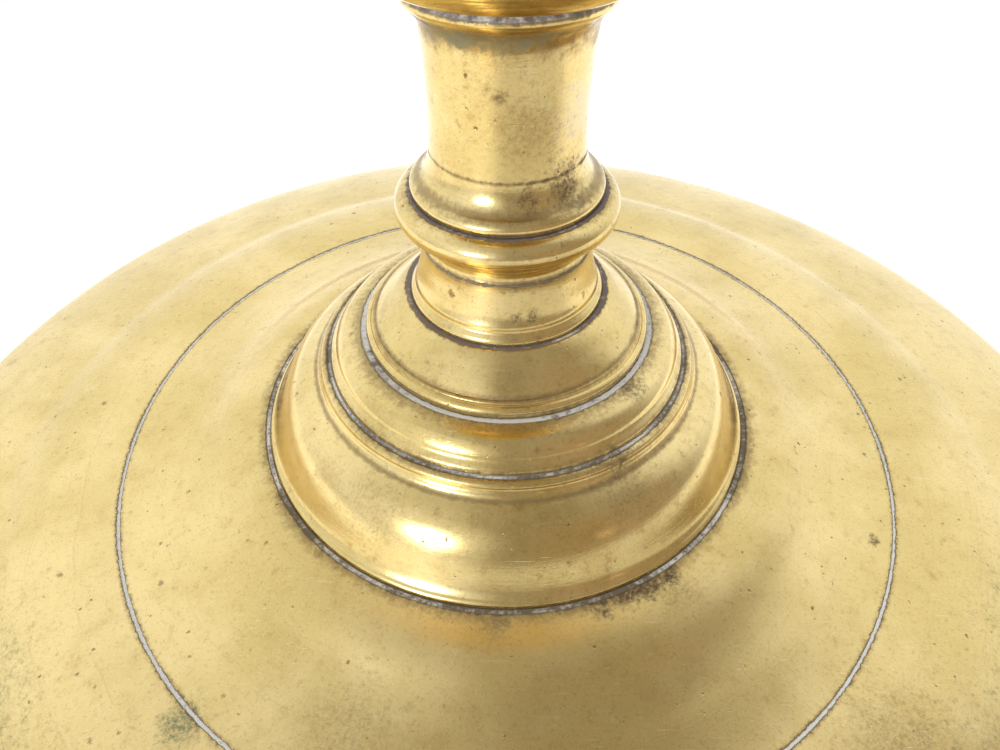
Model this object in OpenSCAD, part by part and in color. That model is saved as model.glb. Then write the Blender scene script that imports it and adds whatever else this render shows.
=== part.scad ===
// Brass candlestick. A wide turned foot carries a knopped stem, a drip pan and a
// candle socket, all drawn together by an iron rod. A loose nozzle lifts out of the
// socket. Millimetres, +Z up, origin on the axis at the plane the foot stands on.

/* [Foot] */
// Diameter of the foot over its rolled edge
foot_d = 230; // [200:1:280]
// Radius of the rolled edge
foot_roll_r = 4.2; // [3:0.1:5]
// Wall of the cast foot
foot_wall = 3; // [2.4:0.1:4]
// Diameter of the engraved line
line_d = 135.4; // [125:0.2:150]
// Height of the engraved line
line_h = 16.2; // [14:0.1:18]
// Width of the convex band outside the engraved line
band_w = 17; // [14:0.2:18]
// Height of the collar's seat on the foot
seat_h = 22.8; // [21:0.1:26]

/* [Collar] */
// Diameter of the collar where it meets the foot
collar_d = 82.2; // [74:0.2:98]
// Height of the collar from seat to seat
collar_h = 18.5; // [15.5:0.1:22]
// Diameter of the groove on the collar's step
step_d = 58; // [56:0.2:60]
// Wall of the hollow collar
collar_wall = 3.5; // [3:0.1:4]

/* [Stem] */
// Diameter of the flange that carries the stem
flange_d = 44.6; // [43:0.1:46]
// Height of the flange
flange_h = 7.1; // [6:0.1:8]
// Diameter of the ring over the lower spool
ring_d = 31.5; // [30.5:0.1:36]
// Height of the lower spool and its ring
ring_h = 16.7; // [15:0.1:20]
// Diameter of the lower column at its waist
column_d = 20.6; // [19:0.1:23]
// Height of the lower column
column_h = 26.5; // [22:0.1:32]
// Diameter of the ball on the centre knop
knop_d = 41; // [38:0.2:50]
// Height of the centre knop
knop_h = 31.2; // [30:0.1:36]
// Largest diameter of the baluster
baluster_d = 31; // [26:0.2:38]
// Height of the baluster
baluster_h = 84; // [70:0.5:102]
// Diameter of the ring under the drip pan
neck_ring_d = 29; // [27:0.1:34]
// Height of the neck ring
neck_ring_h = 15; // [14:0.1:18]

/* [Drip pan] */
// Diameter of the drip pan over its rolled edge
pan_d = 116; // [96:1:140]
// Rise of the pan's edge above its underside
pan_rise = 10; // [9:0.1:12]
// Wall of the drip pan
pan_wall = 2; // [1.6:0.1:2.4]
// Height of the seat that the pan gives the socket
pan_seat_h = 3.6; // [3.2:0.1:4.2]

/* [Socket and nozzle] */
// Height of the candle socket
socket_h = 56; // [48:0.5:68]
// Diameter of the socket over its lip
socket_lip_d = 39; // [37:0.2:46]
// Wall of the socket at its waist
socket_wall = 2.6; // [2.4:0.1:3.2]
// Diameter of the hole for the candle
candle_d = 22.4; // [20:0.1:26]
// Depth of the hole for the candle
candle_depth = 32; // [26:0.5:38]
// Wall of the nozzle's tube
nozzle_wall = 1.4; // [1.2:0.1:1.6]
// Diameter of the nozzle's flange
nozzle_d = 58; // [52:0.5:70]

/* [Tie rod] */
// Diameter of the iron rod
rod_d = 8; // [7:0.1:9]
// Depth that the rod is screwed into the socket
rod_grip = 10; // [8:0.5:12]
// Length of rod left below the nut
rod_tail = 3; // [1:0.5:3]
// Diameter of the iron plate under the foot
plate_d = 72; // [70:1:82]
// Thickness of the iron plate
plate_t = 3; // [2.5:0.1:4]
// Width of the square nut across its flats
nut_w = 14; // [13:0.5:16]
// Height of the nut
nut_h = 6.5; // [6:0.1:7]

/* [Joints and fits] */
// Diameter of the spigot that centres each piece of the stem on the next
spigot_d = 14; // [13:0.1:15]
// Height of the spigots
spigot_h = 2; // [1.5:0.1:2.5]
// Gap between a spigot and its recess
spigot_gap = 0.15; // [0.1:0.05:0.3]
// Gap between the rod and the holes that it passes through
rod_gap = 0.5; // [0.3:0.1:0.8]
// Gap between the nozzle's tube and the socket
nozzle_gap = 0.3; // [0.3:0.05:0.5]
// Width of the open line where one piece sits inside another
joint_line_w = 0.9; // [0.6:0.1:1.1]
// Depth of the joint and engraved lines
line_depth = 0.7; // [0.5:0.1:0.9]

/* [Hidden] */

QUARTER = 1 - cos(45);      // sagitta of a quarter circle, as a share of its radius
round_steps = 8;            // straight steps in each round stretch of an outline

foot_r = foot_d / 2;
line_r = line_d / 2;
collar_r = collar_d / 2;
step_r = step_d / 2;
flange_r = flange_d / 2;
ring_r = ring_d / 2;
column_r = column_d / 2;
knop_r = knop_d / 2;
pan_r = pan_d / 2;
candle_r = candle_d / 2;
rod_r = rod_d / 2;
hole_r = rod_r + rod_gap;
spigot_r = spigot_d / 2;
recess_r = spigot_r + spigot_gap;
recess_h = spigot_h + spigot_gap;

spigot_ring_r = 30;         // ring under the collar that drops into the foot
spigot_ring_wall = 3.5;
ring_foot_r = 14.7;         // lower ring where it stands on the flange
column_foot_r = 13.1;       // lower column where it stands on the ring
socket_foot_r = 15;         // socket where it stands on the drip pan

// Seats of the pieces, from the foot up
z_collar = seat_h;
z_flange = z_collar + collar_h;
z_ring = z_flange + flange_h;
z_column = z_ring + ring_h;
z_knop = z_column + column_h;
z_baluster = z_knop + knop_h;
z_neck = z_baluster + baluster_h;
z_pan = z_neck + neck_ring_h;
z_socket = z_pan + pan_seat_h;
z_nozzle = z_socket + socket_h;

brass = [0.78, 0.66, 0.36];
iron = [0.30, 0.28, 0.27];

// Points of a round stretch from p to q, without q. It stands out by s to the right of
// the way from p to q, or in by s where s is negative.
function bow(p, q, s, n = round_steps) =
    let (chord = norm(q - p), way = (q - p) / chord, side = [way[1], -way[0]] * sign(s),
         r = (chord * chord / 4 + s * s) / (2 * abs(s)),
         half = 2 * atan2(2 * abs(s), chord),
         c = (p + q) / 2 - side * (r - abs(s)))
    [for (i = [0:n - 1]) let (a = half * (2 * i / n - 1)) c + r * (cos(a) * side + sin(a) * way)];

// A smooth sweep through stations of radius, height and slope in degrees, going inwards,
// without the last station
function glide(a, b, n) =
    let (p = [a[0], a[1]], q = [b[0], b[1]], reach = 0.36 * norm(q - p),
         p_pull = p + reach * [-cos(a[2]), sin(a[2])],
         q_pull = q - reach * [-cos(b[2]), sin(b[2])])
    [for (i = [0:n - 1]) let (t = i / n, u = 1 - t)
        u * u * u * p + 3 * u * u * t * p_pull + 3 * u * t * t * q_pull + t * t * t * q];
function sweep(stations, n = 4) =
    [for (j = [0:len(stations) - 2]) each glide(stations[j], stations[j + 1], n)];

// Inside of a stem piece from its top at z1 down to its seat at z0: spigot, rod hole, a
// cored hollow of radius core between webs, and the recess for the spigot below.
function inside(z0, z1, core, web = 5) =
    concat([[spigot_r, z1], [spigot_r, z1 + spigot_h], [hole_r, z1 + spigot_h]],
           core > hole_r ? [[hole_r, z1 - web], [core, z1 - web - 1],
                            [core, z0 + web + 1], [hole_r, z0 + web]] : [],
           [[hole_r, z0 + recess_h], [recess_r, z0 + recess_h], [recess_r, z0]]);

module turned(outline) rotate_extrude($fn = 128) polygon(outline);

// Foot: a shallow dish with a rolled edge, a convex band, one engraved line, and a soft
// shoulder round the collar
module foot() {
    land_w = 3;
    hollow_w = 5.2;
    mouth = [collar_r + joint_line_w, seat_h + line_depth];
    roll_c = [foot_r - foot_roll_r, foot_roll_r];
    roll_end = 72;
    roll_top = roll_c + foot_roll_r * [cos(roll_end), sin(roll_end)];
    land_r = roll_c[0] - land_w;
    band_r = line_r + band_w;
    hole = spigot_ring_r + spigot_gap;
    color(brass) turned(concat(
        [[land_r, 0]],
        bow([roll_c[0], 0], [foot_r, foot_roll_r], QUARTER * foot_roll_r),
        bow([foot_r, foot_roll_r], roll_top, (1 - cos(roll_end / 2)) * foot_roll_r),
        sweep([[roll_top[0], roll_top[1], 90 - roll_end],
               [band_r + hollow_w, line_h - 3.2, 8],
               [band_r + 1.5, line_h - 2.2, 20],
               [band_r - 2.7, line_h - 1, 13],
               [band_r - 9.7, line_h, 4],
               [line_r + 0.45, line_h + 0.15, -1]]),
        [[line_r + 0.45, line_h + 0.15],
         [line_r, line_h - line_depth]],
        sweep([[line_r - 0.45, line_h + 0.15, 5],
               [collar_r + 16.9, seat_h - 4.6, 13],
               [collar_r + 12.9, seat_h - 3.3, 23],
               [collar_r + 10, seat_h - 1.8, 30],
               [collar_r + 7.4, seat_h - 0.5, 21],
               [collar_r + 4.9, seat_h + 0.2, 10],
               [mouth[0], mouth[1], 8]]),
        [mouth, [mouth[0], seat_h], [hole, seat_h], [hole, seat_h - foot_wall],
         [plate_d / 2 + 1.5, seat_h - foot_wall],
         [collar_r + 7.4, seat_h - 0.5 - foot_wall],
         [collar_r + 12.9, seat_h - 3.3 - foot_wall],
         [line_r, line_h - line_depth - foot_wall],
         [band_r, line_h - 1.8 - foot_wall],
         [band_r + hollow_w, line_h - 3.4 - foot_wall],
         [land_r - 1, roll_top[1] - foot_wall]]));
}

// Collar: a hollow stepped bell, seated on the foot
module foot_collar() {
    top = z_flange;
    groove_h = top - 4;
    seat_r = flange_r + joint_line_w;
    run = collar_r - step_r;
    lip = [step_r + 0.115 * run, top - 0.254 * collar_h];
    shelf = step_r - 0.5 - seat_r;
    inner_r = spigot_ring_r - spigot_ring_wall;
    crown_r = min(step_r - collar_wall - 2, inner_r);
    color(brass) turned(concat(
        [[collar_r, z_collar]],
        bow([collar_r, z_collar + 0.5], [collar_r - 0.6, z_collar + 1.5], 0.2),
        sweep([[collar_r - 0.6, z_collar + 1.5, 45],
               [collar_r - 1.5, z_collar + 2.7, 60],
               [collar_r - 0.264 * run, z_collar + 0.319 * collar_h, 62],
               [collar_r - 0.46 * run, z_collar + 0.514 * collar_h, 49],
               [step_r + 0.36 * run, top - 0.39 * collar_h, 30],
               [step_r + 0.23 * run, top - 0.351 * collar_h, 24],
               [step_r + 0.15 * run, top - 0.303 * collar_h, 64],
               [lip[0], lip[1], 80]]),
        bow(lip, [step_r + 0.5, groove_h], 0.3),
        [[step_r + 0.5, groove_h], [step_r, groove_h - line_depth]],
        sweep([[step_r - 0.5, groove_h + 0.3, 84],
               [seat_r + 0.8 * shelf, groove_h + 1.9, 68],
               [seat_r + 0.66 * shelf, groove_h + 3.1, 50],
               [seat_r + 0.45 * shelf, top + 0.05, 24],
               [seat_r + 0.26 * shelf, top + 0.4, 14],
               [seat_r, top + line_depth, 16]]),
        [[seat_r, top + line_depth], [seat_r, top]],
        [[spigot_r, top], [spigot_r, top + spigot_h], [hole_r, top + spigot_h]],
        [[hole_r, top - collar_wall], [crown_r - 3, top - collar_wall],
         [crown_r, top - collar_wall - 3], [inner_r, z_collar + 4]],
        [[inner_r, z_collar - foot_wall], [spigot_ring_r, z_collar - foot_wall], [spigot_ring_r, z_collar]]));
}

// Flange: the low dome at the bottom of the stem, with a fine bead at its edge
module stem_flange() {
    seat_r = ring_foot_r + joint_line_w;
    bead_h = z_flange + 2.2;
    color(brass) turned(concat(
        [[flange_r, z_flange]],
        bow([flange_r, z_flange + 1.2], [flange_r - 0.9, bead_h], 0.3),
        bow([flange_r - 1, bead_h], [flange_r - 1.6, bead_h + 0.45], 0.18),
        sweep([[flange_r - 1.65, bead_h + 0.45, 50],
               [(flange_r + ring_foot_r) / 2 - 0.2, z_ring - 2, 43],
               [seat_r, z_ring + 0.2, 30]]),
        [[seat_r, z_ring + 0.2], [seat_r, z_ring]],
        inside(z_flange, z_ring, 0)));
}

// Lower ring: a concave spool under a round ring
module lower_ring() {
    tube_r = (ring_r - column_foot_r + 1.6) / 2;
    tube_c = [ring_r - tube_r, z_column + 0.5 - tube_r];
    neck = [12.3, z_ring + (tube_c[1] - tube_r - z_ring) * 0.62];
    fillet = [tube_c[0] + 0.3, tube_c[1] - tube_r];
    color(brass) turned(concat(
        [[ring_foot_r, z_ring]],
        bow([ring_foot_r, z_ring + 1.5], [ring_foot_r - 0.5, z_ring + 2.3], 0.12),
        bow([ring_foot_r - 0.6, z_ring + 2.3], neck, -0.55),
        bow(neck, fillet, -0.5),
        bow(fillet + [0.4, 0.2], [ring_r, tube_c[1]], QUARTER * tube_r * 0.8),
        bow([ring_r, tube_c[1]], [tube_c[0], z_column + 0.5], QUARTER * tube_r),
        [[tube_c[0], z_column + 0.5], [column_foot_r + joint_line_w, z_column + 0.4],
         [column_foot_r + joint_line_w, z_column]],
        inside(z_ring, z_column, 0)));
}

// Lower column: nearly straight, with a coved foot and a beaded head
module lower_column() {
    bead_r = column_r + 2.5;
    color(brass) turned(concat(
        [[column_foot_r, z_column]],
        bow([column_foot_r, z_column + 0.9], [column_foot_r - 0.3, z_column + 2.3], 0.35),
        sweep([[column_foot_r - 0.4, z_column + 2.4, 18],
               [column_r + 0.3, z_column + 5.8, 82],
               [column_r - 0.05, z_column + 9.9, 88],
               [column_r, z_knop - 11.6, 92],
               [column_r + 0.3, z_knop - 5.6, 97],
               [column_r + 0.7, z_knop - 3.5, 112],
               [bead_r - 0.95, z_knop - 2.5, 145]]),
        bow([bead_r - 0.6, z_knop - 2], [bead_r - 0.6, z_knop], 0.6),
        [[bead_r - 0.6, z_knop]],
        inside(z_column, z_knop, 6.4)));
}

// Centre knop: a ball between two rings
module centre_knop() {
    neck_r = 12.3;
    ring_t = 6.1;
    ring_c = 14.2;
    fillet_r = 13.4;
    top_ring_t = 4;
    ring_z = z_knop + 0.5;
    ball_z0 = ring_z + ring_t + 1;
    ball_z1 = z_baluster - top_ring_t - 1;
    ball_s = knop_r - fillet_r;
    color(brass) turned(concat(
        [[neck_r, z_knop], [neck_r, ring_z - 0.1]],
        bow([ring_c, ring_z], [ring_c, ring_z + ring_t], ring_t / 2, 2 * round_steps),
        [[ring_c, ring_z + ring_t]],
        [[fillet_r, ring_z + ring_t]],
        bow([fillet_r, ball_z0], [fillet_r, ball_z1], ball_s, 2 * round_steps),
        [[fillet_r, ball_z1]],
        bow([fillet_r, z_baluster - top_ring_t], [fillet_r, z_baluster], 1.8),
        [[fillet_r, z_baluster]],
        inside(z_knop, z_baluster, 8)));
}

// Baluster: a coved foot, a long swelling body and a narrow beaded neck
module baluster() {
    foot_top = [9.4, z_baluster + 8];
    belly = [baluster_d / 2, z_baluster + baluster_h * 0.68];
    shoulder = [10.9, z_neck - 13];
    neck = [9.3, z_neck - 9];
    bead_r = 12.2;
    color(brass) turned(concat(
        [[12.6, z_baluster]],
        bow([12.6, z_baluster + 0.8], [12.2, z_baluster + 2.6], 0.5),
        bow([12, z_baluster + 2.8], foot_top, -0.7),
        bow(foot_top, [11, z_baluster + 28], -0.35),
        bow([11, z_baluster + 28], belly, 1.1),
        bow(belly, shoulder, 1.4),
        bow(shoulder, neck, -0.35),
        bow(neck, [bead_r - 1, z_neck - 2.4], -0.6),
        bow([bead_r - 0.5, z_neck - 2.2], [bead_r - 0.5, z_neck], 0.7),
        [[bead_r - 0.5, z_neck]],
        inside(z_baluster, z_neck, 6)));
}

// Neck ring: a round ring over a short spool, under the drip pan
module neck_ring() {
    r = neck_ring_d / 2;
    ring_t = 5.2;
    ring_z = z_neck + 0.8;
    head_r = 13.6;
    color(brass) turned(concat(
        [[10.8, z_neck], [10.8, ring_z]],
        bow([12, ring_z], [r, ring_z + ring_t / 2], 0.7),
        bow([r, ring_z + ring_t / 2], [12, ring_z + ring_t], 0.7),
        [[11.8, ring_z + ring_t + 0.3]],
        bow([11.2, ring_z + ring_t + 0.5], [head_r - 0.4, z_pan - 1.6], -0.9),
        [[head_r, z_pan - 1.4], [head_r, z_pan]],
        inside(z_neck, z_pan, 0)));
}

// Drip pan: a thin turned dish with a rolled edge
module drip_pan() {
    roll_r = 1.8;
    boss_r = 12.8;
    edge = [pan_r - 2 * roll_r, z_pan + pan_rise - 2.4 * roll_r];
    floor = [pan_r * 0.62, z_pan + 1.8];
    roll_c = [pan_r - roll_r, z_pan + pan_rise - roll_r];
    seat_r = socket_foot_r + joint_line_w;
    color(brass) turned(concat(
        [[boss_r, z_pan], [boss_r + 0.6, z_pan + 1.3]],
        bow([boss_r + 0.6, z_pan + 1.3], floor, 0.4),
        bow(floor, edge, 1.6),
        [edge],
        bow(roll_c - [0, roll_r], roll_c + [roll_r, 0], QUARTER * roll_r),
        bow(roll_c + [roll_r, 0], roll_c + [0, roll_r], QUARTER * roll_r),
        bow(roll_c + [0, roll_r], roll_c - [roll_r, 0], QUARTER * roll_r),
        [edge + [-0.8, pan_wall]],
        bow(edge + [-0.8, pan_wall], floor + [-0.5, pan_wall], -1.6),
        bow(floor + [-0.5, pan_wall], [seat_r, z_socket + 0.4], -0.3),
        [[seat_r, z_socket + 0.4], [seat_r, z_socket]],
        inside(z_pan, z_socket, 0)));
}

// Candle socket: a waisted cup whose solid floor is tapped for the rod
module candle_socket() {
    bore_r = candle_r + nozzle_wall + nozzle_gap;
    waist_r = bore_r + socket_wall;
    lip_r = socket_lip_d / 2;
    cup_z = z_socket + 12;
    bead_z = z_socket + socket_h * 0.42;
    lip_z = z_nozzle - 7;
    well_z = z_nozzle - candle_depth - 4;
    color(brass) turned(concat(
        [[socket_foot_r, z_socket]],
        bow([socket_foot_r, z_socket + 1], [socket_foot_r - 0.8, z_socket + 2.6], 0.4),
        bow([socket_foot_r - 1, z_socket + 2.8], [11, z_socket + 7], -0.8),
        bow([11, z_socket + 7], [waist_r + 1.6, cup_z + 5], 1.7),
        bow([waist_r + 1.6, cup_z + 5], [waist_r, bead_z - 1.6], -0.3),
        bow([waist_r, bead_z - 1.6], [waist_r, bead_z + 1.6], 1.3),
        bow([waist_r, bead_z + 1.6], [waist_r + 0.6, lip_z - 2], -0.9),
        bow([waist_r + 0.6, lip_z - 2], [lip_r - 1.2, lip_z + 1.2], -0.8),
        bow([lip_r - 0.8, lip_z + 1.4], [lip_r, lip_z + 2.8], 0.3),
        bow([lip_r, lip_z + 2.8], [lip_r - 1.4, z_nozzle], 0.9),
        [[lip_r - 1.4, z_nozzle], [bore_r, z_nozzle], [bore_r, well_z],
         [bore_r - 2, well_z - 2], [0, well_z - 2]],
        [[0, z_socket + rod_grip], [rod_r, z_socket + rod_grip], [rod_r, z_socket + recess_h]],
        [[recess_r, z_socket + recess_h], [recess_r, z_socket]]));
}

// Nozzle: a loose tube with a dished flange, which lifts out with the candle
module nozzle() {
    tube_r = candle_r + nozzle_wall;
    flange_r = nozzle_d / 2;
    floor_z = z_nozzle + 2.6 - candle_depth;
    edge_h = 4.4;
    color(brass) turned(concat(
        [[0, floor_z - nozzle_wall], [tube_r - 0.8, floor_z - nozzle_wall],
         [tube_r, floor_z - nozzle_wall + 0.8],
         [tube_r, z_nozzle], [socket_lip_d / 2 - 1.4, z_nozzle]],
        bow([socket_lip_d / 2 - 1.4, z_nozzle], [flange_r - 1, z_nozzle + edge_h - 2], 0.5),
        bow([flange_r - 1, z_nozzle + edge_h - 2], [flange_r - 1, z_nozzle + edge_h], 0.99),
        bow([flange_r - 1, z_nozzle + edge_h], [flange_r - 2.2, z_nozzle + edge_h - 1], 0.4),
        bow([flange_r - 2.2, z_nozzle + edge_h - 1], [candle_r + 2, z_nozzle + 1.6], -0.6),
        bow([candle_r + 2, z_nozzle + 1.6], [candle_r, z_nozzle + 2.6], 0.5),
        [[candle_r, z_nozzle + 2.6], [candle_r, floor_z], [0, floor_z]]));
}

// Rod: from the socket's tapped floor down through every piece to the nut
module tie_rod() {
    bottom = z_collar - foot_wall - plate_t - nut_h - rod_tail;
    chamfer = 0.8;
    top = z_socket + rod_grip;
    color(iron) turned([[0, bottom], [rod_r - chamfer, bottom], [rod_r, bottom + chamfer],
                        [rod_r, top], [0, top]]);
}

// Clamp plate: a round plate across the hole in the foot
module clamp_plate() {
    color(iron) translate([0, 0, z_collar - foot_wall - plate_t])
        difference() {
            cylinder(h = plate_t, r = plate_d / 2, $fn = 96);
            translate([0, 0, -1]) cylinder(h = plate_t + 2, r = hole_r, $fn = 48);
        }
}

// Clamp nut: square, tapped for the rod, with its lower corners turned off
module clamp_nut() {
    color(iron) translate([0, 0, z_collar - foot_wall - plate_t - nut_h])
        difference() {
            intersection() {
                translate([-nut_w / 2, -nut_w / 2, 0]) cube([nut_w, nut_w, nut_h]);
                cylinder(h = nut_h, r1 = nut_w * 0.6, r2 = nut_w * 0.6 + nut_h * 1.7, $fn = 64);
            }
            translate([0, 0, -1]) cylinder(h = nut_h + 2, r = rod_r, $fn = 48);
        }
}

foot();
foot_collar();
stem_flange();
lower_ring();
lower_column();
centre_knop();
baluster();
neck_ring();
drip_pan();
candle_socket();
nozzle();
tie_rod();
clamp_plate();
clamp_nut();
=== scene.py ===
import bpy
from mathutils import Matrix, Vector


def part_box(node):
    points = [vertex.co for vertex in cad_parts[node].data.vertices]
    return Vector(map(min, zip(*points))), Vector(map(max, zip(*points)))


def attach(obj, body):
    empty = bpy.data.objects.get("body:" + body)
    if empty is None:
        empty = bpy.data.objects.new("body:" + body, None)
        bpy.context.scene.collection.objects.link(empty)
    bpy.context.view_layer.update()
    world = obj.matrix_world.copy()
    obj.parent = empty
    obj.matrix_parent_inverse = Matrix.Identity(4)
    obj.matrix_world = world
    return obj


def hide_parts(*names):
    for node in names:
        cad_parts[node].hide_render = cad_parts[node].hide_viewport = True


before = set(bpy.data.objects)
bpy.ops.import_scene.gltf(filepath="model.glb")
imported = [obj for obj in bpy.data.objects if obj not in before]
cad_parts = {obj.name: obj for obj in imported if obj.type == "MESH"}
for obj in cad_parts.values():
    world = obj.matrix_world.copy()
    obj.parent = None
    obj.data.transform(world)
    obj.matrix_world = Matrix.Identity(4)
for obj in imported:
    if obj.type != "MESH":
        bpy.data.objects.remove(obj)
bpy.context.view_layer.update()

import math

import bmesh
import bpy
import numpy as np

# --- Foot --------------------------------------------------------------------------------
# The foot is a heavy dish, cast in sand and skimmed on the lathe, then polished by hand for
# years. Its upper face is turned in one sweep from the rolled edge to the collar's seat, and
# the underside is left as it came from the mould.

MM = 0.001  # sizes are in millimetres and angles in degrees until they go into Blender


def bow(p, q, rise, steps=14):
    """Points of a round stretch from p to q, without q. It stands out by rise to the right."""
    p, q = np.array(p, float), np.array(q, float)
    chord = np.linalg.norm(q - p)
    way = (q - p) / chord
    side = np.array([way[1], -way[0]]) * math.copysign(1, rise)
    radius = (chord**2 / 4 + rise**2) / (2 * abs(rise))
    half = 2 * math.atan2(2 * abs(rise), chord)
    centre = (p + q) / 2 - side * (radius - abs(rise))
    turns = [half * (2 * i / steps - 1) for i in range(steps)]
    return [tuple(centre + radius * (math.cos(a) * side + math.sin(a) * way)) for a in turns]


def glides(stations, steps=8):
    """A smooth sweep through stations of radius, height and slope in degrees, going inwards."""
    swept = []
    for (r0, z0, a0), (r1, z1, a1) in zip(stations, stations[1:]):
        p, q = np.array([r0, z0]), np.array([r1, z1])
        reach = 0.36 * np.linalg.norm(q - p)
        p_pull = p + reach * np.array([-math.cos(math.radians(a0)), math.sin(math.radians(a0))])
        q_pull = q - reach * np.array([-math.cos(math.radians(a1)), math.sin(math.radians(a1))])
        for t in np.arange(steps) / steps:
            u = 1 - t
            swept.append(tuple(u**3 * p + 3 * u * u * t * p_pull + 3 * u * t * t * q_pull + t**3 * q))
    return swept


def outline_mesh(name, points, coarse, lines, raw_below):
    """The outline as a chain of points in the XZ plane, close together beside the lines. Each
    point knows how far it is from the nearest line: gap is in millimetres from the edge of what
    fills it, soil_and_shade counts the reach of its dirt, which beside a few lines is painted
    shade, and pale says how white the filling is."""
    corners = [np.array(p, float) for p in points]
    if points[0][0] > 1e-6:
        corners.append(corners[0])
    far_off = (1e3, 1e3)
    marks = np.array([line[:2] for line in lines] or [far_off])
    inner_r, hidden = 0.3 * max(p[0] for p in points), 2.0
    finest, growth, beside = 0.11, 0.4, 0.4

    def length(a, b):
        """How far apart two points may be: close by a line, and widely spaced inside the piece."""
        near = np.hypot(*((a + b) / 2 - marks).T).min()
        widest = coarse if max(a[0], b[0]) > inner_r else hidden
        return min(widest, finest + growth * max(near - beside, 0))

    chain = [corners[0]]
    for a, b in zip(corners, corners[1:]):
        while np.linalg.norm(b - chain[-1]) > 1.5 * length(chain[-1], b):
            way = (b - chain[-1]) / np.linalg.norm(b - chain[-1])
            chain.append(chain[-1] + way * length(chain[-1], chain[-1] + way * 0.1))
        chain.append(b)
    chain = np.array(chain)
    away = np.array([np.hypot(chain[:, 0] - r, chain[:, 1] - z) for r, z in marks])
    nearest = away.argmin(axis=0)
    half, reach, pale = (np.array([line[i] for line in lines] or [1.0])[nearest] for i in (2, 3, 4))
    away = away.min(axis=0)
    raw = (chain[:, 1] < raw_below(chain[:, 0])) * 1.0
    mesh = bpy.data.meshes.new(name)
    links = [(i, i + 1) for i in range(len(chain) - 1)]
    mesh.from_pydata([(r * MM, 0, z * MM) for r, z in chain], links, [])
    for key, values in (("gap", away - half), ("soil_and_shade", away / reach), ("pale", pale), ("raw", raw)):
        attribute = mesh.attributes.new(key, "FLOAT", "POINT")
        attribute.data.foreach_set("value", values.astype(np.float32))
    return mesh


def lathe_tree():
    """Geometry Nodes that turn an outline round Z, as a lathe does, with its small faults."""
    weld, crease = 1e-6, math.radians(38)
    tree = bpy.data.node_groups.new("lathe", "GeometryNodeTree")
    for name, kind in (("Outline", "Geometry"), ("Segments", "Int"), ("Wave Height", "Float"),
                       ("Wave Scale", "Float"), ("Finish", "Material")):
        tree.interface.new_socket(name, in_out="INPUT", socket_type="NodeSocket" + kind)
    tree.interface.new_socket("Piece", in_out="OUTPUT", socket_type="NodeSocketGeometry")

    def node(kind, settings=(), **values):
        made = tree.nodes.new(kind)
        for key, value in dict(settings).items():
            setattr(made, key, value)
        for key, value in values.items():
            socket = made.inputs[int(key[1:])] if key[0] == "_" else made.inputs[key.replace("_", " ")]
            if isinstance(value, bpy.types.NodeSocket):
                tree.links.new(value, socket)
            else:
                socket.default_value = value
        return made

    given = node("NodeGroupInput").outputs
    count = node("GeometryNodeAttributeDomainSize", Geometry=given["Outline"]).outputs["Point Count"]
    columns = node("ShaderNodeMath", {"operation": "ADD"}, _0=given["Segments"], _1=1).outputs[0]
    grid = node("GeometryNodeMeshGrid", Vertices_X=columns, Vertices_Y=count).outputs["Mesh"]
    index = node("GeometryNodeInputIndex").outputs[0]
    row = node("FunctionNodeIntegerMath", {"operation": "MODULO"}, _0=index, _1=count).outputs[0]
    column = node("FunctionNodeIntegerMath", {"operation": "DIVIDE_FLOOR"}, _0=index, _1=count).outputs[0]
    share = node("ShaderNodeMath", {"operation": "DIVIDE"}, _0=column, _1=given["Segments"]).outputs[0]
    turn = node("ShaderNodeMath", {"operation": "MULTIPLY"}, _0=share, _1=2 * math.pi).outputs[0]

    def along(kind, value):
        """A value of the outline's points, handed to every point of the turned piece."""
        return node("GeometryNodeSampleIndex", {"data_type": kind}, Geometry=given["Outline"],
                    Value=value, Index=row)

    place = along("FLOAT_VECTOR", node("GeometryNodeInputPosition").outputs[0]).outputs[0]
    turned = node("ShaderNodeVectorRotate", {"rotation_type": "Z_AXIS"}, Vector=place,
                  Angle=turn).outputs[0]
    mesh = node("GeometryNodeSetPosition", Geometry=grid, Position=turned).outputs[0]
    for key in ("gap", "soil_and_shade", "pale", "raw"):
        value = node("GeometryNodeInputNamedAttribute", {"data_type": "FLOAT"}, Name=key).outputs[0]
        value = along("FLOAT", value)
        mesh = node("GeometryNodeStoreNamedAttribute", {"data_type": "FLOAT", "domain": "POINT"},
                    Geometry=mesh, Name=key, Value=value.outputs[0]).outputs[0]
    mesh = node("GeometryNodeMergeByDistance", Geometry=mesh, Distance=weld).outputs[0]
    wave = node("ShaderNodeTexNoise", {"noise_dimensions": "3D"}, Scale=given["Wave Scale"],
                Detail=1.0).outputs[0]
    height = node("ShaderNodeMath", {"operation": "SUBTRACT"}, _0=wave, _1=0.5).outputs[0]
    height = node("ShaderNodeMath", {"operation": "MULTIPLY"}, _0=height,
                  _1=given["Wave Height"]).outputs[0]
    normal = node("GeometryNodeInputNormal").outputs[0]
    shift = node("ShaderNodeVectorMath", {"operation": "SCALE"}, Vector=normal, Scale=height).outputs[0]
    mesh = node("GeometryNodeSetPosition", Geometry=mesh, Offset=shift).outputs[0]
    mesh = node("GeometryNodeSetShadeSmooth", {"domain": "FACE"}, Geometry=mesh).outputs[0]
    angle = node("GeometryNodeInputMeshEdgeAngle").outputs[0]
    sharp = node("FunctionNodeCompare", {"operation": "GREATER_THAN"}, _0=angle, _1=crease).outputs[0]
    mesh = node("GeometryNodeSetShadeSmooth", {"domain": "EDGE"}, Geometry=mesh, Selection=sharp,
                Shade_Smooth=False).outputs[0]
    mesh = node("GeometryNodeRealizeInstances", Geometry=mesh).outputs[0]
    mesh = node("GeometryNodeSetMaterial", Geometry=mesh, Material=given["Finish"]).outputs[0]
    tree.links.new(mesh, node("NodeGroupOutput").inputs[0])
    return tree


LATHE = lathe_tree()


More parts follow.
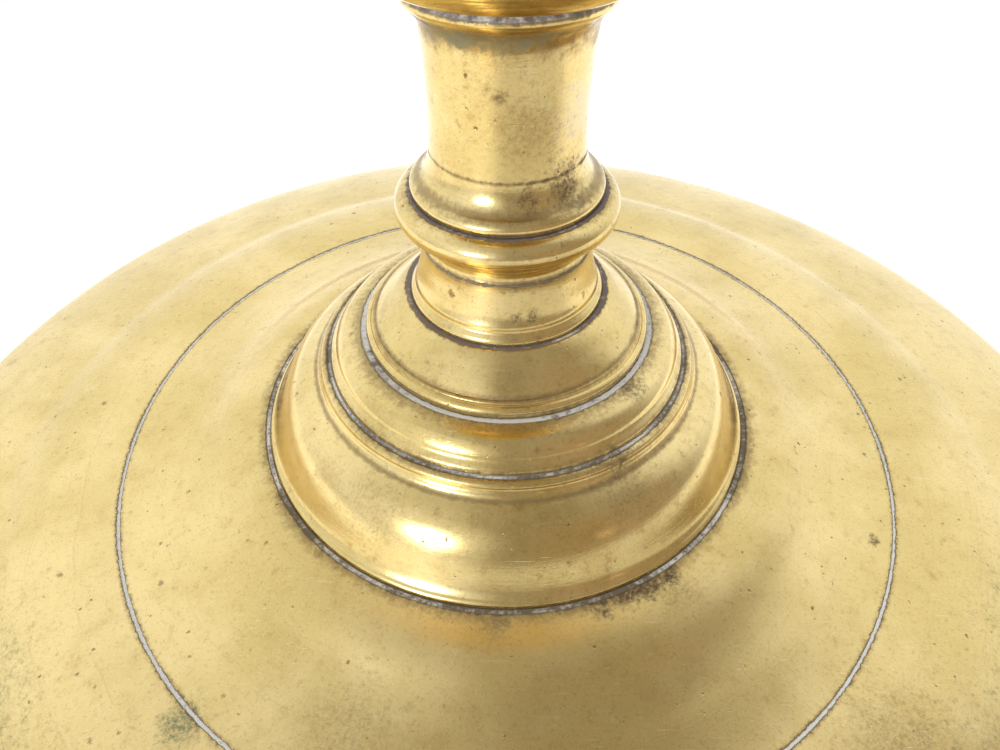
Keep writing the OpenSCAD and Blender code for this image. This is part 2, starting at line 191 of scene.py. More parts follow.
def turned_piece(name, points, finish, body="stand", coarse=0.5, lines=(), segments=360,
                 wave_height=0.03, wave_scale=60.0, raw_below=lambda r: r * 0 - 1):
    """One turned piece: its outline swept round the axis, riding on its body in place of the
    CAD node of the same name. Each line has a radius, a height, half its width, the reach of
    its dirt, which on a few lines is painted shade, and how pale it is. Below raw_below the
    casting's skin was left as it was."""
    outline = outline_mesh(name + "_outline", points, coarse, lines, raw_below)
    blank = bpy.data.objects.new(name + "_outline", outline)
    bpy.context.scene.collection.objects.link(blank)
    lathe = blank.modifiers.new("lathe", "NODES")
    lathe.node_group = LATHE
    sizes = {"Segments": segments, "Wave Height": wave_height * MM, "Wave Scale": wave_scale,
             "Finish": finish}
    for item in LATHE.interface.items_tree:
        if item.item_type == "SOCKET" and item.name in sizes:
            lathe[item.identifier] = sizes[item.name]
    turned = blank.evaluated_get(bpy.context.evaluated_depsgraph_get())
    made = bpy.data.meshes.new_from_object(turned)
    made.name = "turned_" + name
    solid = bmesh.new()
    solid.from_mesh(made)
    if solid.calc_volume(signed=True) < 0:
        bmesh.ops.reverse_faces(solid, faces=solid.faces)
    solid.to_mesh(made)
    solid.free()
    bpy.data.objects.remove(blank)
    piece = bpy.data.objects.new("turned_" + name, made)
    bpy.context.scene.collection.objects.link(piece)
    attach(piece, body)
    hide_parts(name)
    return piece


class Wire:
    """A shader socket that takes arithmetic: an expression on wires adds its Math nodes."""

    def __init__(self, bench, socket):
        self.bench, self.socket = bench, socket

    def _math(self, operation, a, b):
        return self.bench.node("ShaderNodeMath", {"operation": operation}, _0=a, _1=b)

    def __add__(self, other):
        return self._math("ADD", self, other)

    def __radd__(self, other):
        return self._math("ADD", other, self)

    def __sub__(self, other):
        return self._math("SUBTRACT", self, other)

    def __rsub__(self, other):
        return self._math("SUBTRACT", other, self)

    def __mul__(self, other):
        return self._math("MULTIPLY", self, other)

    def __rmul__(self, other):
        return self._math("MULTIPLY", other, self)

    def __truediv__(self, other):
        return self._math("DIVIDE", self, other)

    def __rtruediv__(self, other):
        return self._math("DIVIDE", other, self)

    def _range(self, low, high, at_low, at_high):
        return self.bench.node("ShaderNodeMapRange", {"interpolation_type": "SMOOTHSTEP"}, Value=self,
                               From_Min=low, From_Max=high, To_Min=at_low, To_Max=at_high)

    def fades(self, low, high):
        """1 where this is below low, 0 above high, and smooth between."""
        return self._range(low, high, 1.0, 0.0)

    def rises(self, low, high):
        """0 where this is below low, 1 above high, and smooth between."""
        return self._range(low, high, 0.0, 1.0)


class Bench:
    """A material, or the room's light, being made up node by node."""

    def __init__(self, made):
        self.made = made
        made.use_nodes = True
        self.tree = made.node_tree
        self.shader = self.tree.nodes.get("Principled BSDF") or self.tree.nodes["Background"]

    def node(self, kind, settings=(), out=0, **values):
        """One node. Its settings go first, then the values or links of its sockets."""
        made = self.tree.nodes.new(kind)
        for key, value in dict(settings).items():
            setattr(made, key, value)
        for key, value in values.items():
            self.plug(made.inputs[int(key[1:]) if key[0] == "_" else key.replace("_", " ")], value)
        return Wire(self, made.outputs[out])

    def plug(self, socket, value):
        """Links a wire to a socket, or sets a plain value on it."""
        if isinstance(value, Wire):
            self.tree.links.new(value.socket, socket)
        else:
            socket.default_value = value

    def mix(self, share, a, b):
        """Colour a, turning to colour b as share goes from 0 to 1."""
        return self.node("ShaderNodeMix", {"data_type": "RGBA"}, out=2, _0=share, _6=a, _7=b)

    def noise(self, where, scale, detail=2.0, rough=0.5):
        """Soft random clouds, 0 to 1. Scale is the clouds per metre."""
        return self.node("ShaderNodeTexNoise", Vector=where, Scale=scale, Detail=detail, Roughness=rough)

    def attribute(self, name):
        """A value that the turned piece carries on its points."""
        return self.node("ShaderNodeAttribute", {"attribute_name": name}, out="Fac")


def srgb(red, green, blue):
    """A colour given as it looks on a screen, from 0 to 255."""
    def linear(c):
        c /= 255
        return c / 12.92 if c <= 0.04045 else ((c + 0.055) / 1.055) ** 2.4
    return (linear(red), linear(green), linear(blue), 1.0)


def aged_brass(name, dull=0.0, mottle=0.8, marks=(), stain=None, unworn=None):
    """Old cast brass, polished by hand: cloudy colour, brown tarnish, pits, fine scratches and
    turning marks, with dried polish in the lines and dirt beside it, which beside a few lines
    is painted shade. Dull roughens it and mottle strengthens its clouds. Marks are single
    patches: radius, angle, height, reach, strength and colour; most are dirt, and some are
    painted shade and painted dark reflection. Stain is a patch of green corrosion: its ragged
    edge, its top, the side it is on and the radius it lies at. Inside the unworn radius the
    cloth never reached, so the surface stays duller."""
    straw, golden, cream, glint = (srgb(236, 209, 143), srgb(220, 193, 123), srgb(246, 228, 172),
                                   srgb(254, 240, 200))
    tan, tarnish, freckle, furrow = (srgb(182, 146, 80), srgb(138, 102, 56), srgb(136, 104, 58),
                                     srgb(150, 118, 66))
    scraped, hole = srgb(252, 238, 196), srgb(88, 64, 40)
    copper_brown, copper_green = srgb(148, 110, 56), srgb(134, 132, 104)
    skin, grime_and_shade, crevice = srgb(120, 98, 62), srgb(120, 94, 58), srgb(82, 68, 48)
    violet_putty, drab_putty, white_putty = (srgb(132, 120, 118), srgb(122, 110, 90),
                                             srgb(240, 238, 230))
    bench = Bench(bpy.data.materials.new(name))
    where = bench.node("ShaderNodeTexCoord", out="Object")
    cloud = bench.noise(where, 45.0, 3.0)
    blotch = bench.noise(where, 190.0, 6.0, 0.7)
    smear = bench.noise(where, 480.0, 5.0, 0.72)
    grain = bench.noise(where, 1900.0, 3.0, 0.75)
    fine = bench.noise(where, 5200.0, 2.0, 0.6)
    across = bench.node("ShaderNodeVectorMath", {"operation": "MULTIPLY"}, _0=where, _1=(1, 1, 0))
    radius = bench.node("ShaderNodeVectorMath", {"operation": "LENGTH"}, out="Value", _0=across)
    height = bench.node("ShaderNodeSeparateXYZ", out="Z", Vector=where)
    ring = bench.node("ShaderNodeCombineXYZ", X=radius + cloud * 0.004, Y=height, Z=blotch * 0.0015)
    turning = bench.noise(ring, 2200.0, 2.0, 0.6)
    scratch = 0.0
    for turn, tilt in ((35, 40), (-50, -35), (100, 65)):
        lean = (math.radians(tilt), math.radians(turn / 2), math.radians(turn))
        lie = bench.node("ShaderNodeMapping", Vector=where, Rotation=lean, Scale=(90, 2600, 2600))
        scratch = bench.noise(lie, 1.0, 1.0, 0.5).fades(0.2, 0.3) * cloud.rises(0.4, 0.6) + scratch
    colour = bench.mix(cloud.rises(0.35, 0.65), straw, golden)
    colour = bench.mix(blotch.rises(0.47, 0.75) * (0.55 * mottle), colour, tan)
    colour = bench.mix(blotch.fades(0.26, 0.44) * (0.5 * mottle), colour, cream)
    colour = bench.mix(smear.rises(0.54, 0.76) * (0.6 * mottle), colour, tarnish)
    colour = bench.mix(grain.rises(0.5, 0.85) * 0.5, colour, freckle)
    colour = bench.mix(turning.rises(0.55, 0.85) * 0.2, colour, furrow)
    colour = bench.mix(fine.fades(0.22, 0.45) * 0.4, colour, glint)
    colour = bench.mix(scratch * 0.25, colour, scraped)
    jolt = bench.node("ShaderNodeTexNoise", out="Color", Vector=where, Scale=1500.0, Detail=2.0)
    jolt = bench.node("ShaderNodeVectorMath", {"operation": "SCALE"}, Vector=jolt, Scale=0.0009)
    pit = 0.0
    for scale, odds, deep in ((170.0, 0.975, 0.5), (420.0, 0.95, 0.7), (900.0, 0.92, 0.8)):
        spread = bench.node("ShaderNodeVectorMath", {"operation": "ADD"}, _0=where, _1=(scale, 0.3, 0.7))
        spread = bench.node("ShaderNodeVectorMath", {"operation": "ADD"}, _0=spread, _1=jolt)
        away = bench.node("ShaderNodeTexVoronoi", out="Distance", Vector=spread, Scale=scale)
        lot = bench.node("ShaderNodeTexVoronoi", out="Color", Vector=spread, Scale=scale)
        chance = bench.node("ShaderNodeSeparateColor", out="Red", Color=lot)
        size = bench.node("ShaderNodeSeparateColor", out="Green", Color=lot)
        spot = (away - size * size * 0.12).fades(0.0, 0.2) * chance.rises(odds, odds + 0.02)
        pit = spot * deep + pit
    colour = bench.mix(pit * 0.8, colour, hole)
    ragged = bench.noise(where, 1100.0, 4.0, 0.7)
    patchy = bench.noise(where, 110.0, 3.0)
    crust_and_shade = 0.0
    # Each mark tints a patch: most are dirt, and some are painted shade and painted dark reflection, noted
    # where they are listed.
    for out, angle, up, reach, strength, tint in marks:
        angle = math.radians(angle)
        place = (out * math.cos(angle) * MM, out * math.sin(angle) * MM, up * MM)
        away = bench.node("ShaderNodeVectorMath", {"operation": "DISTANCE"}, out="Value",
                          _0=where, _1=place)
        patch = (away / (reach * MM) + (smear - 0.5) * 1.8 + (ragged - 0.5) * 1.4).fades(0.1, 1.0)
        patch = patch * (0.3 + grain.rises(0.35, 0.62) * 0.7) * strength
        colour = bench.mix(patch, colour, tint)
        crust_and_shade = patch * 0.6 + crust_and_shade
    if stain:
        low, top, side, stain_r = stain
        toward = (math.cos(math.radians(side)), math.sin(math.radians(side)), 0)
        facing = bench.node("ShaderNodeVectorMath", {"operation": "DOT_PRODUCT"}, out="Value",
                            _0=where, _1=toward)
        facing = facing * (1 / MM) / stain_r
        level = height * (1 / MM) + (smear - 0.5) * 3.0 + (blotch - 0.5) * 6.0
        under = (height * (1 / MM)).fades(top - 0.2, top + 0.4)
        green = level.rises(low, low + 1.5) * facing.rises(0.7, 0.95) * under
        green = green * (0.45 + smear.rises(0.4, 0.6) * 0.55)
        brown = level.rises(low - 1.0, low + 2.0) * under * (0.4 + ragged.rises(0.35, 0.6) * 0.6)
        colour = bench.mix(brown * 0.8, colour, copper_brown)
        colour = bench.mix(green * 0.8, colour, copper_green)
        crust_and_shade = green * 0.6 + brown * 0.3 + crust_and_shade
    gap, soil_and_shade, pale = bench.attribute("gap"), bench.attribute("soil_and_shade"), bench.attribute("pale")
    torn = (ragged - 0.5) * 0.7 + (patchy - 0.5) * 0.3
    filled = (gap + torn).fades(-0.06, 0.08)
    edge = (gap + torn * 1.4).fades(0.0, 0.32) * (1 - filled)
    # The halo darkens beside each line: dirt, and on the collar's cove and the column's ledge painted
    # shade.
    halo = (soil_and_shade + torn * 2.5).fades(0.1, 1.1) * 0.6
    raw = bench.attribute("raw")
    colour = bench.mix(raw * 0.7, colour, skin)
    colour = bench.mix(halo, colour, grime_and_shade)
    colour = bench.mix(edge * 0.75, colour, crevice)
    putty = bench.mix(pale.rises(0.3, 0.44), violet_putty, drab_putty)
    whitened = (pale + (ragged - 0.5) * 1.8 + (patchy - 0.5) * 1.6).rises(0.25, 0.9)
    putty = bench.mix(whitened, putty, white_putty)
    colour = bench.mix(filled, colour, putty)
    metal = (1 - filled) * (1 - edge * 0.8) * (1 - halo * 0.4) * (1 - crust_and_shade)
    bench.plug(bench.shader.inputs["Base Color"], colour)
    bench.plug(bench.shader.inputs["Metallic"], metal)
    rough = (0.1 + dull + cloud * 0.04 + blotch * 0.06 + smear.rises(0.5, 0.8) * 0.14 + pit * 0.3
             + raw * 0.25 + halo * 0.25 + edge * 0.3 + filled * 0.4 + crust_and_shade * 0.4)
    if unworn:
        rough = rough + (radius / MM).fades(unworn - 4, unworn + 4) * 0.12
    bench.plug(bench.shader.inputs["Roughness"], rough)
    relief = (grain * 0.35 + fine * 0.15 + smear * 0.5 + turning * 0.3 - pit * 2.5 - scratch * 0.3
              + ragged * filled * 2.0 - edge * 2.0)
    bump = bench.node("ShaderNodeBump", Height=relief, Distance=0.00003, Strength=0.7)
    bench.plug(bench.shader.inputs["Normal"], bump)
    return bench.made


foot_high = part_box("foot")[1]
collar_low, collar_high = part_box("foot_collar")
foot_r = foot_high.x / MM - 0.03
roll_r = 4.2
wall = 3.0
quarter = 1 - math.cos(math.pi / 4)  # rise of a quarter round, as a share of its radius
z_seat = collar_low.z / MM + wall
collar_r = collar_high.x / MM
line_r, line_h = 67.7, 16.2
band_r = line_r + 17
roll_c = (foot_r - roll_r, roll_r)
roll_end = math.radians(72)
roll_top = (roll_c[0] + roll_r * math.cos(roll_end), roll_r + roll_r * math.sin(roll_end))
land_r, land_z = roll_c[0] - 3, 0.05
hole_r = 30.15
mouth = (collar_r + 0.9, z_seat + 0.6)
foot_points = [
    (land_r, land_z),
    *bow((roll_c[0], land_z), (foot_r, roll_r), quarter * roll_r),
    *bow((foot_r, roll_r), roll_top, (1 - math.cos(roll_end / 2)) * roll_r),
    *glides([(*roll_top, 18), (band_r + 5.2, line_h - 3.2, 8), (band_r + 1.5, line_h - 2.2, 20),
             (band_r - 2.7, line_h - 1.0, 13), (band_r - 9.7, line_h, 4), (line_r + 0.7, line_h + 0.15, -1),
             (line_r + 0.2, line_h, -60)], 14),
    (line_r + 0.15, line_h - 0.1),
    (line_r - 0.15, line_h - 0.1),
    *glides([(line_r - 0.2, line_h, 60), (line_r - 0.7, line_h + 0.15, 5),
             (collar_r + 16.9, z_seat - 4.6, 13), (collar_r + 12.9, z_seat - 3.3, 23),
             (collar_r + 10.0, z_seat - 1.8, 30), (collar_r + 7.4, z_seat - 0.5, 21),
             (collar_r + 4.9, z_seat + 0.2, 10), (*mouth, 8)], 14),
    mouth,
    (mouth[0] - 0.05, z_seat + 0.5),
    (collar_r + 0.04, z_seat + 0.46),
    (collar_r + 0.03, z_seat),
    (hole_r, z_seat),
    (hole_r, z_seat - wall),
    (37.5, z_seat - wall),
    (collar_r + 7.4, z_seat - 0.5 - wall),
    (collar_r + 12.9, z_seat - 3.3 - wall),
    (line_r, line_h - 0.7 - wall),
    (band_r, line_h - 1.8 - wall),
    (band_r + 5.2, line_h - 3.4 - wall),
    (land_r - 1, roll_top[1] - wall),
]
black_dirt, verdigris, dulled_and_shaded = srgb(58, 52, 44), srgb(104, 114, 84), srgb(168, 156, 98)
satin = aged_brass("satin_brass", dull=0.05, mottle=0.5, unworn=51, marks=[
    *[(42.5, angle, z_seat + 0.4, 2.6, 1.0, black_dirt) for angle in (288, 292, 295.5, 299, 303)],
    (43.5, 268, z_seat + 0.4, 3.5, 0.5, srgb(104, 84, 54)),
    (69.6, 231, line_h, 4.0, 0.8, verdigris),
    (45.0, 302, z_seat, 5.0, 0.35, srgb(112, 88, 54)),
    (64.5, 336, line_h + 0.1, 1.5, 1.0, srgb(96, 72, 44)),
    (78.0, 312, line_h - 1.5, 12.0, 0.4, srgb(126, 98, 58)),
    (60.0, 250, line_h + 0.2, 10.0, 0.3, srgb(128, 102, 62)),
    # These olive patches on the foot's outer sides are painted shade, and they also dull the metal there.
    *[(96.0, angle, line_h - 4.0, 18.0, 0.8, dulled_and_shaded) for angle in (212, 226, 240, 318, 334)]])


def foot_face(r):
    """Height of the foot's turned face at a radius, or the roll's middle where it curls under."""
    stations = [(collar_r, z_seat), (collar_r + 7.4, z_seat - 0.5), (collar_r + 12.9, z_seat - 3.3),
                (line_r, line_h), (band_r + 5.2, line_h - 3.2), (roll_c[0], roll_r * 1.2)]
    return np.interp(r, *zip(*stations))


turned_piece("foot", foot_points, satin, coarse=1.3, segments=320,
             raw_below=lambda r: foot_face(r) - wall / 2, wave_height=0.12, wave_scale=22.0,
             lines=[(line_r, line_h - 0.1, 0.25, 0.9, 1.0),
                    (mouth[0] - 0.42, z_seat + 0.48, 0.34, 2.2, 0.48)])

# --- Collar -------------------------------------------------------------------------------
# The collar is a second casting, a hollow stepped bell that hides the hole in the foot. It
# drops into the foot with a ring and is held down by the stem. Dirt fills the line round it.

flange_low, flange_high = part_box("stem_flange")
z_flange = flange_low.z / MM
flange_r = flange_high.x / MM
step_r = 29.0
groove_z = z_flange - 4.0
seat_r = flange_r + 0.9
spigot_r, spigot_h = 7.0, 2
rod_hole_r, core_r = 4.5, 26.5
rise, run = z_flange - z_seat, collar_r - step_r
shelf = step_r - 0.5 - seat_r
step_foot = (step_r + 0.115 * run, z_flange - 0.254 * rise)
collar_points = [
    (collar_r, z_seat),
    *bow((collar_r, z_seat + 0.5), (collar_r - 0.6, z_seat + 1.5), 0.2, 8),
    *glides([(collar_r - 0.6, z_seat + 1.5, 45), (collar_r - 1.5, z_seat + 2.7, 60),
             (collar_r - 0.264 * run, z_seat + 0.319 * rise, 62),
             (collar_r - 0.46 * run, z_seat + 0.514 * rise, 49),
             (step_r + 0.36 * run, z_flange - 0.39 * rise, 30),
             (step_r + 0.23 * run, z_flange - 0.351 * rise, 24),
             (step_r + 0.15 * run, z_flange - 0.303 * rise, 64), (*step_foot, 80)], 14),
    *bow(step_foot, (step_r + 0.3, groove_z), 0.3, 10),
    (step_r + 0.3, groove_z),
    (step_r + 0.15, groove_z - 0.15),
    (step_r - 0.15, groove_z - 0.05),
    *glides([(step_r - 0.4, groove_z + 0.3, 84), (seat_r + 0.8 * shelf, groove_z + 1.9, 68),
             (seat_r + 0.66 * shelf, groove_z + 3.1, 50), (seat_r + 0.45 * shelf, z_flange + 0.05, 24),
             (seat_r + 0.26 * shelf, z_flange + 0.4, 14), (seat_r, z_flange + 0.7, 16)], 10),
    (seat_r, z_flange + 0.7),
    (seat_r - 0.05, z_flange + 0.62),
    (flange_r + 0.03, z_flange + 0.6),
    (flange_r + 0.02, z_flange),
    (spigot_r, z_flange),
    (spigot_r, z_flange + spigot_h),
    (rod_hole_r, z_flange + spigot_h),
    (rod_hole_r, z_flange - 3.5),
    (core_r - 6, z_flange - 3.5),
    (core_r - 3, z_flange - 6.5),
    (core_r, z_seat + 4),
    (core_r, z_seat - wall),
    (core_r + 3.5, z_seat - wall),
    (core_r + 3.5, z_seat),
]
brass = aged_brass("aged_brass", marks=[
    (step_r + 1.6, 302, groove_z, 3.0, 0.9, srgb(84, 66, 44)),
    # This brown patch on the collar's front right is painted dark reflection of the dim side of the room.
    (33.0, 300, 34.5, 6.0, 0.5, srgb(112, 84, 48)),
    (flange_r + 1.5, 318, z_flange, 3.0, 0.8, srgb(74, 62, 50)),
    (36.0, 238, 33.0, 7.0, 0.25, srgb(122, 94, 54)),
    (12.7, 286, z_flange + 11.0, 1.6, 1.0, srgb(66, 48, 30)),
    (12.8, 276, z_flange + 10.8, 1.2, 0.8, srgb(76, 56, 34))])
turned_piece("foot_collar", collar_points, brass, coarse=0.45, segments=300,
             wave_height=0.06, wave_scale=50.0,
             lines=[(collar_r + 0.42, z_seat + 0.25, 0.3, 0.6, 0.48), (step_r, groove_z, 0.25, 1.4, 0.55),
                    # The next line has no filling; its dark halo is painted shade in the cove under the
                    # step's lip.
                    (step_r + 0.2 * run, z_flange - 0.34 * rise, -0.3, 0.6, 0.0),
                    (flange_r + 0.45, z_flange + 0.65, 0.42, 2.6, 0.9)])

# --- Stem flange --------------------------------------------------------------------------
# The flange is the low dome that the stem stands on, turned from a flat casting with a fine
# bead at its edge. It is centred on the collar's spigot and held down by the rod, as every
# member of the stem is.

ring_low, ring_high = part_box("lower_ring")
z_ring = ring_low.z / MM
ring_foot_r = 14.7
bead_z = z_flange + 2.2
recess_r, recess_h = spigot_r + 0.15, spigot_h + 0.15


def bored(z0, z1, core=0.0):
    """Inside of a stem piece from z1 down to z0: the spigot on top, the rod's hole, the hollow
    left by a core of that radius if there was one, and the recess underneath."""
    chamber = [(rod_hole_r, z1 - 5), (core, z1 - 6), (core, z0 + 6), (rod_hole_r, z0 + 5)]
    spigot = [(spigot_r, z1), (spigot_r, z1 + spigot_h), (rod_hole_r, z1 + spigot_h)]
    recess = [(rod_hole_r, z0 + recess_h), (recess_r, z0 + recess_h), (recess_r, z0)]
    return [*spigot, *(chamber if core else []), *recess]


flange_points = [
    (flange_r, z_flange),
    *bow((flange_r, z_flange + 1.2), (flange_r - 0.85, bead_z), 0.3),
    (flange_r - 0.9, bead_z - 0.1),
    *bow((flange_r - 1.05, bead_z), (flange_r - 1.6, bead_z + 0.45), 0.18),
    *glides([(flange_r - 1.65, bead_z + 0.45, 50), ((flange_r + ring_foot_r) / 2 - 0.2, z_ring - 2.0, 43),
             (ring_foot_r + 0.9, z_ring + 0.2, 30)], 16),
    (ring_foot_r + 0.9, z_ring + 0.2),
    (ring_foot_r + 0.03, z_ring + 0.12),
    (ring_foot_r + 0.02, z_ring),
    *bored(z_flange, z_ring),
]
turned_piece("stem_flange", flange_points, brass, coarse=0.3, wave_height=0.04,
             lines=[(flange_r + 0.45, z_flange + 0.45, 0.4, 1.8, 0.85),
                    (flange_r - 1.6, bead_z + 0.4, -0.25, 0.8, 0.0),
                    (ring_foot_r + 0.4, z_ring + 0.15, 0.33, 0.8, 0.2)])

# --- Lower ring ---------------------------------------------------------------------------
# A concave spool and the round ring over it, turned from one short brass casting. It sits in
# a shallow seat in the flange, where a dark line of dirt shows the joint.

z_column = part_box("lower_column")[0].z / MM
ring_r = ring_high.x / MM
column_foot_r = 13.1
tube_r = (ring_r - column_foot_r + 1.6) / 2
tube = (ring_r - tube_r, z_column + 0.5 - tube_r)
neck = (12.35, tube[1] - tube_r - 4.1)
fillet = (tube[0] + 0.3, tube[1] - tube_r)
ring_points = [
    (ring_foot_r, z_ring),
    *bow((ring_foot_r, z_ring + 0.15), (ring_foot_r - 0.4, z_ring + 1.2), 0.12, 8),
    *glides([(ring_foot_r - 0.4, z_ring + 1.2, 50), (ring_foot_r - 0.65, z_ring + 1.5, 48),
             (ring_foot_r - 1.05, z_ring + 2.8, 66), (neck[0] + 0.5, neck[1] - 3.2, 78),
             (neck[0] + 0.05, neck[1] - 0.6, 84), (*neck, 85)], 10),
    neck,
    (neck[0] - 0.1, neck[1] + 0.12),
    *bow((neck[0], neck[1] + 0.24), fillet, -0.9, 14),
    *bow((fillet[0] + 0.4, fillet[1] + 0.2), (ring_r, tube[1]), quarter * tube_r * 0.8),
    *bow((ring_r, tube[1]), (tube[0], z_column + 0.5), quarter * tube_r),
    (tube[0], z_column + 0.5),
    (column_foot_r + 0.3, z_column + 0.48),
    (column_foot_r + 0.02, z_column + 0.4),
    (column_foot_r + 0.02, z_column),
    *bored(z_ring, z_column),
]
turned_piece("lower_ring", ring_points, brass, coarse=0.3,
             lines=[(ring_foot_r + 0.45, z_ring + 0.05, 0.33, 0.5, 0.2),
                    (neck[0], neck[1] + 0.12, 0.06, 0.9, 0.6),
                    (column_foot_r + 0.3, z_column + 0.45, 0.36, 1.5, 0.2)])

# --- Lower column -------------------------------------------------------------------------
# A short waisted column of cast brass, hollow from a core in its mould. It sits on the ring,
# its beaded head carries the knop, and green corrosion has crept out from under the bead.

knop_low, knop_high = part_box("centre_knop")
z_knop = knop_low.z / MM
column_r = 10.3
bead_r = column_r + 2.5
column_points = [
    (column_foot_r, z_column),
    *bow((column_foot_r, z_column + 0.4), (column_foot_r - 0.4, z_column + 2.3), 0.5, 12),
    *glides([(column_foot_r - 0.4, z_column + 2.4, 18), (column_r + 0.3, z_column + 5.8, 82),
             (column_r - 0.05, z_column + 9.9, 88), (column_r, z_knop - 11.6, 92),
             (column_r + 0.3, z_knop - 5.6, 97), (column_r + 0.7, z_knop - 3.5, 112),
             (bead_r - 0.95, z_knop - 2.5, 145)], 12),
    *bow((bead_r - 0.6, z_knop - 2.0), (bead_r - 0.6, z_knop), 0.6, 12),
    (bead_r - 0.6, z_knop),
    *bored(z_column, z_knop, core=6.4),
]
stained = aged_brass("stained_brass", stain=(z_knop - 5.4, z_knop - 2.2, 252, column_r), marks=[
    (column_r, 264, z_knop - 9.6, 1.3, 0.8, srgb(112, 84, 48)),
    (column_r, 256, z_knop - 8.6, 0.9, 0.7, srgb(104, 76, 44)),
    # The next two dark patches on the flared foot are partly a brown smudge and partly painted dark
    # reflection.
    (column_r + 1.0, 314, z_column + 5.2, 4.5, 0.9, srgb(92, 66, 38)),
    (column_r + 0.8, 283, z_column + 4.4, 2.4, 0.8, srgb(88, 62, 36)),
    (column_r, 322, z_column + 14.0, 5.0, 0.5, srgb(250, 236, 206)),
    # This brown patch is painted dark reflection on the column's right side.
    (column_r, 285, z_column + 13.0, 6.0, 0.35, srgb(150, 112, 66))])
turned_piece("lower_column", column_points, stained, coarse=0.5, segments=300,
             lines=[(column_foot_r + 0.3, z_column + 0.35, 0.3, 0.5, 0.2),
                    (column_r + 0.22, z_column + 6.4, -0.15, 0.4, 0.0),
                    # The next line has no filling; its dark halo is dirt in the ledge's corner and painted
                    # shade there.
                    (column_foot_r - 0.9, z_column + 2.6, -0.3, 1.3, 0.0),
                    (bead_r - 0.25, z_knop - 0.35, 0.45, 0.9, 0.35)])

# --- Centre knop --------------------------------------------------------------------------
# A ball between two rings, the thickest member of the stem and the place for the hand. It is
# one hollow brass casting, turned all over and centred on the column's spigot.

z_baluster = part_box("baluster")[0].z / MM
knop_r = knop_high.x / MM
knop_fillet, knop_foot_r = 13.4, 12.3
ball = ((knop_fillet, z_knop + 7.6), (knop_fillet, z_baluster - 5))
knop_points = [
    (knop_foot_r, z_knop),
    (knop_foot_r, z_knop + 0.4),
    *bow((14.2, z_knop + 0.5), (14.2, z_knop + 6.6), 3.05, 24),
    (14.2, z_knop + 6.6),
    (knop_fillet, z_knop + 6.6),
    *bow(*ball, knop_r - knop_fillet, 48),
    ball[1],
    *bow((knop_fillet, z_baluster - 4), (knop_fillet, z_baluster), 1.8, 16),
    (knop_fillet, z_baluster),
    *bored(z_knop, z_baluster, core=8),
]
turned_piece("centre_knop", knop_points, brass, coarse=0.5,
             lines=[(knop_foot_r + 0.1, z_knop + 0.2, 0.3, 1.6, 0.2),
                    (knop_fillet, z_knop + 7, 0.2, 1.2, 0.3),
                    (knop_fillet, z_baluster - 4.5, 0.2, 1.2, 0.3)])

# --- Baluster -----------------------------------------------------------------------------
# The long upper stem, cast hollow in brass and turned, with a coved foot, a swelling belly
# and a beaded neck. It stands on the knop's spigot.

neck_low, neck_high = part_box("neck_ring")
z_neck = neck_low.z / MM
baluster_height = z_neck - z_baluster
belly = (15.5, z_baluster + baluster_height * 0.68)
shoulder, throat = (10.9, z_neck - 13), (9.3, z_neck - 9)
baluster_points = [
    (12.6, z_baluster),
    *bow((12.6, z_baluster + 0.8), (12.2, z_baluster + 2.6), 0.5, 8),
    *bow((12, z_baluster + 2.8), (9.4, z_baluster + 8), -0.7, 14),
    *bow((9.4, z_baluster + 8), (11, z_baluster + 28), -0.35, 24),
    *bow((11, z_baluster + 28), belly, 1.1, 36),
    *bow(belly, shoulder, 1.4, 24),
    *bow(shoulder, throat, -0.35, 8),
    *bow(throat, (11.2, z_neck - 2.4), -0.6, 12),
    *bow((11.7, z_neck - 2.2), (11.7, z_neck), 0.7, 12),
    (11.7, z_neck),
    *bored(z_baluster, z_neck, core=6),
]
turned_piece("baluster", baluster_points, brass, coarse=0.6, segments=240,
             lines=[(12.7, z_baluster, 0.2, 1.0, 0.3), (11.5, z_neck - 2.3, 0.1, 0.8, 0.3)])

# --- Neck ring ----------------------------------------------------------------------------
# A ring and a short spool, turned from one solid casting and drilled for the rod. They
# spread the stem's load under the drip pan.

pan_low, pan_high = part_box("drip_pan")
z_pan = pan_low.z / MM
neck_r = neck_high.x / MM
neck_foot_r = 10.8
neck_points = [
    (neck_foot_r, z_neck),
    (neck_foot_r, z_neck + 0.8),
    *bow((12, z_neck + 0.8), (neck_r, z_neck + 3.4), 0.7, 12),
    *bow((neck_r, z_neck + 3.4), (12, z_neck + 6), 0.7, 12),
    (11.8, z_neck + 6.3),
    *bow((11.2, z_neck + 6.5), (13.2, z_pan - 1.6), -0.9, 20),
    (13.6, z_pan - 1.4),
    (13.6, z_pan),
    *bored(z_neck, z_pan),
]
turned_piece("neck_ring", neck_points, brass, coarse=0.5, segments=240,
             lines=[(neck_foot_r, z_neck + 0.4, 0.4, 1.4, 0.2), (11.5, z_neck + 6.4, 0.15, 1.0, 0.3)])

# --- Drip pan -----------------------------------------------------------------------------
# A thin cast dish that catches the wax, turned on both faces, with its edge rolled over. It
# is held between the neck ring and the candle socket.

